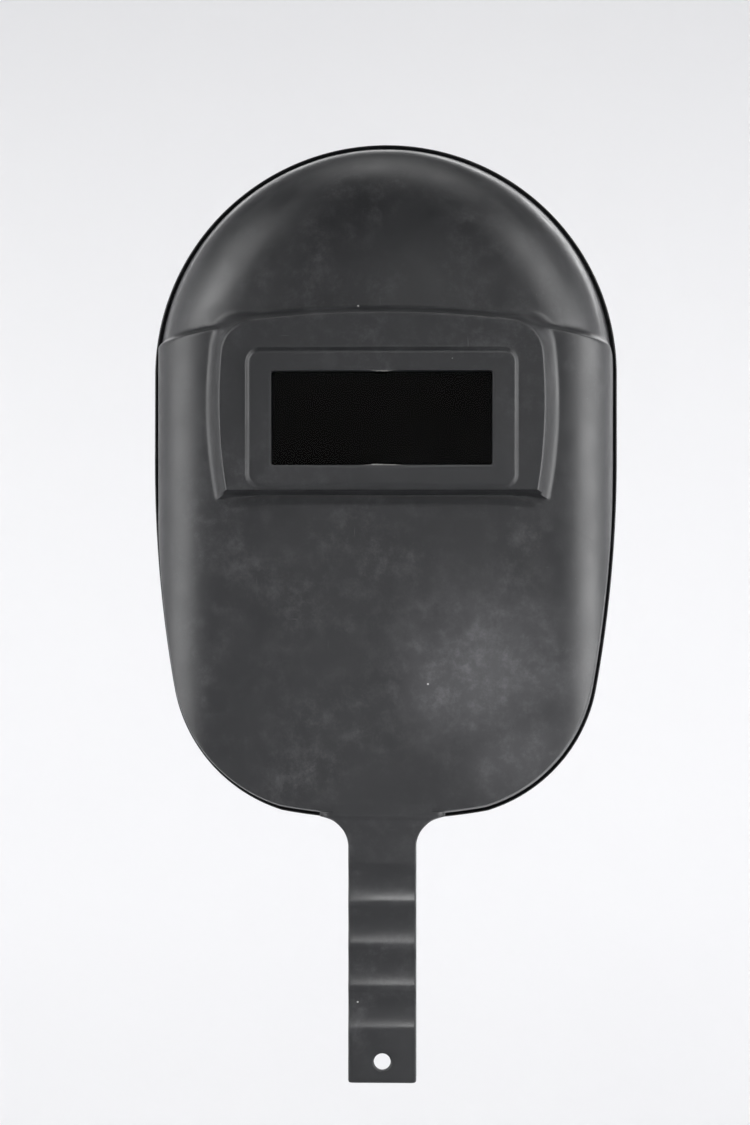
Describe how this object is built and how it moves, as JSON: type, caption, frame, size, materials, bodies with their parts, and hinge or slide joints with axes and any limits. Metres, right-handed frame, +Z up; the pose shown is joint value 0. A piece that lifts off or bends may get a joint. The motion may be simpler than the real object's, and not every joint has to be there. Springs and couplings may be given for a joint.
{
  "type": "hand-held welding shield",
  "caption": "Moulded black welding shield with a ribbed handle, a raised window and dark glass held from inside by a frame and turn buttons.",
  "frame": {"origin": "middle of the grip, half way through the handle's thickness", "axes": "+Z up from the handle to the top of the shield, +X to the right of someone facing the shield, +Y towards the wearer, so the front faces -Y"},
  "size_m": [0.2232, 0.0981, 0.4365],
  "materials": {
    "shell_plastic": "satin black moulded polypropylene",
    "clear_cover": "clear",
    "dark_filter": "very dark green welding glass",
    "gasket_rubber": "matt black",
    "retainer_plastic": "dark grey moulded plastic",
    "button_plastic": "black moulded nylon",
    "washer_steel": "spring steel",
    "screw_steel": "bright zinc plate"
  },
  "bodies": {
    "shield": {"shell": "shell_plastic", "front_cover_plate": "clear_cover", "filter_plate": "dark_filter", "inner_cover_plate": "clear_cover", "lens_gasket": "gasket_rubber", "lens_retainer": "retainer_plastic", "spring_washers": "washer_steel", "pivot_screws": "screw_steel"},
    "button_left": {"turn_button_left": "button_plastic"},
    "button_right": {"turn_button_right": "button_plastic"}
  },
  "joints": [
    {"name": "left_button_turn", "type": "hinge", "parent": "shield", "child": "button_left", "pos_m": [-0.062, -0.00375, 0.2385], "axis": [0, 1, 0], "range_deg": [0, 90]},
    {"name": "right_button_turn", "type": "hinge", "parent": "shield", "child": "button_right", "pos_m": [0.062, -0.00375, 0.2385], "axis": [0, -1, 0], "range_deg": [0, 90]}
  ]
}
